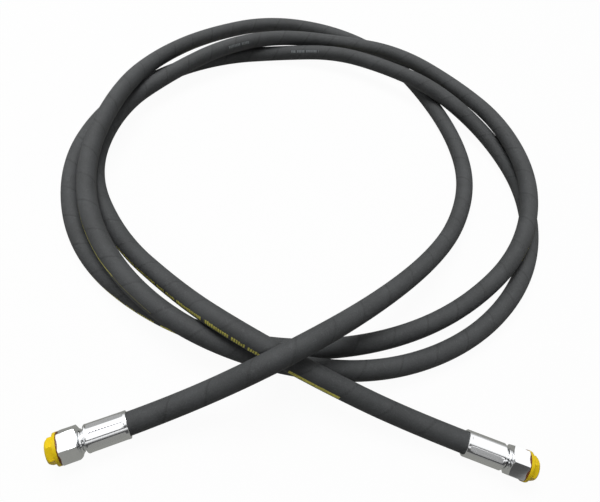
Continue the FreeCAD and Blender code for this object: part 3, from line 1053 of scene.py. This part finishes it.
def edge_on_head(edge, flange_end):
    """Sharp edges of the plug's hexagon head."""
    sharp = len(edge.link_faces) == 2 and edge.calc_face_angle() > 0.35
    return sharp and min(corner.co.x for corner in edge.verts) > flange_end + 0.0002


class HOSE_OT_hose(bpy.types.Operator):
    """The hose: rubber cover, two wire braids, insulation and inner tube"""

    bl_idname = "hose.hose"
    bl_label = "Hose"

    def execute(self, context):
        settings = context.scene.hose_assembly.hose
        points = centreline()
        frames = hose_frames(points)
        coarse = frames[::2] + [frames[-1]] if len(frames) % 2 == 0 else frames[::2]
        finishes = {
            "inner_tube": rubber_finish("inner_rubber", (0.014, 0.014, 0.014)),
            "inner_wire_braid": braid_finish(settings, "inner_braid_wire", 0.0085, WIRE_BUNDLES),
            "insulation_layer": rubber_finish("insulation_rubber", (0.03, 0.028, 0.026)),
            "outer_wire_braid": braid_finish(settings, "outer_braid_wire", 0.0095, WIRE_BUNDLES),
            "hose_cover": hose_cover_finish(settings),
        }
        pieces = {}
        for node, inner_radius, outer_radius, slot in HOSE_LAYERS:
            outermost = node == "hose_cover"
            piece = hose_layer(
                "laid_" + node, frames if outermost else coarse, inner_radius, outer_radius,
                settings.tube_sides if outermost else INNER_LAYER_SIDES, 2 if outermost else 1)
            piece.data.materials.append(finishes[node])
            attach(piece, "hose")
            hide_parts(node)
            pieces[node] = piece
        with_pieces = [piece for node, piece in pieces.items() if node != "hose_cover"]
        with_pieces += ["crimped_ferrule_b", "zinc_nut_b", "yellow_plug_b", "plug_seal_b", "stem_b"]
        pieces["hose_cover"]
        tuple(points[0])
        return {"FINISHED"}


class HOSE_OT_small_pieces(bpy.types.Operator):
    """Finishes of the stems, nut wires and seals"""

    bl_idname = "hose.small_pieces"
    bl_label = "Stems, Wires and Seals"

    def execute(self, context):
        settings = context.scene.hose_assembly.fittings
        finishes = {
            "stem": zinc_finish(settings, "stem_zinc", False, own_axes=False),
            "nut_wire": zinc_finish(settings, "wire_zinc", False, own_axes=False),
            "cone_o_ring": rubber_finish("seal_rubber", (0.012, 0.012, 0.013)),
            "plug_seal": plastic_finish("amber_seal", tuple(settings.seal_colour), 0.45),
        }
        for name, material in finishes.items():
            for end in "ab":
                node = frame["nodes"][name + "_" + end]
                for slot in node.material_slots:
                    slot.material = material
        return {"FINISHED"}


class HOSE_PT_panel(bpy.types.Panel):
    """Sizes, colours and pieces of the hose assembly"""

    bl_idname = "HOSE_PT_panel"
    bl_label = "Hydraulic Hose"
    bl_space_type = "VIEW_3D"
    bl_region_type = "UI"
    bl_category = "Hose"

    def draw(self, context):
        settings = context.scene.hose_assembly
        for group in (settings.hose, settings.fittings, settings.stage):
            box = self.layout.box()
            for label in group.__annotations__:
                box.prop(group, label)
        for operator in OPERATORS:
            self.layout.operator(operator.bl_idname)


GROUPS = (HoseSettings, FittingSettings, StageSettings, AssemblySettings)
OPERATORS = (
    HOSE_OT_stage, HOSE_OT_ferrules, HOSE_OT_swivel_nuts, HOSE_OT_plugs, HOSE_OT_hose, HOSE_OT_small_pieces)


def register():
    for group in GROUPS + OPERATORS + (HOSE_PT_panel,):
        bpy.utils.register_class(group)
    bpy.types.Scene.hose_assembly = bpy.props.PointerProperty(type=AssemblySettings)


def unregister():
    del bpy.types.Scene.hose_assembly
    for group in reversed(GROUPS + OPERATORS + (HOSE_PT_panel,)):
        bpy.utils.unregister_class(group)


def main():
    """Make the whole scene."""
    register()
    bpy.ops.hose.stage()
    bpy.ops.hose.ferrules()
    bpy.ops.hose.swivel_nuts()
    bpy.ops.hose.plugs()
    bpy.ops.hose.hose()
    bpy.ops.hose.small_pieces()
    boxes = {"cad": CAD_BOUNDS, "visual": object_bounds()}
    boxes = {name: [list(corner) for corner in box] for name, box in boxes.items()}


if __name__ == "__main__":
    main()
